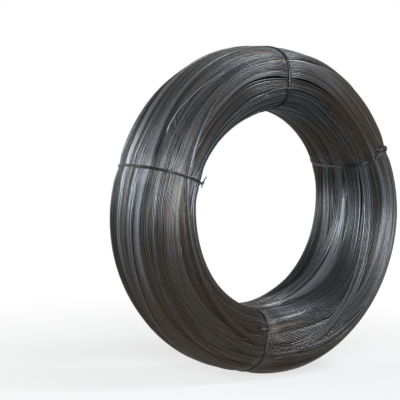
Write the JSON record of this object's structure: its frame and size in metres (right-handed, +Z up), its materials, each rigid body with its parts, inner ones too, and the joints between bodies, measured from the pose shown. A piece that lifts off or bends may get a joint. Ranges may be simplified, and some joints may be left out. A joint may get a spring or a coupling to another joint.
{
  "type": "coil of black annealed steel wire",
  "caption": "Ring-shaped coil of fine black annealed steel wire with an open bore, held by four twisted wire ties.",
  "frame": {"origin": "on the floor, under the middle of the coil", "axes": "+Z up, +Y along the bore, away from the end that the picture shows"},
  "size_m": [0.9999, 0.317, 0.9998],
  "materials": {
    "annealed_wire": "black annealed wire",
    "tie_wire": "black annealed tie wire"
  },
  "bodies": {
    "root": {"wire_coil": "annealed_wire", "tie_right": "tie_wire", "tie_top": "tie_wire", "tie_left": "tie_wire", "tie_bottom": "tie_wire"}
  },
  "joints": []
}
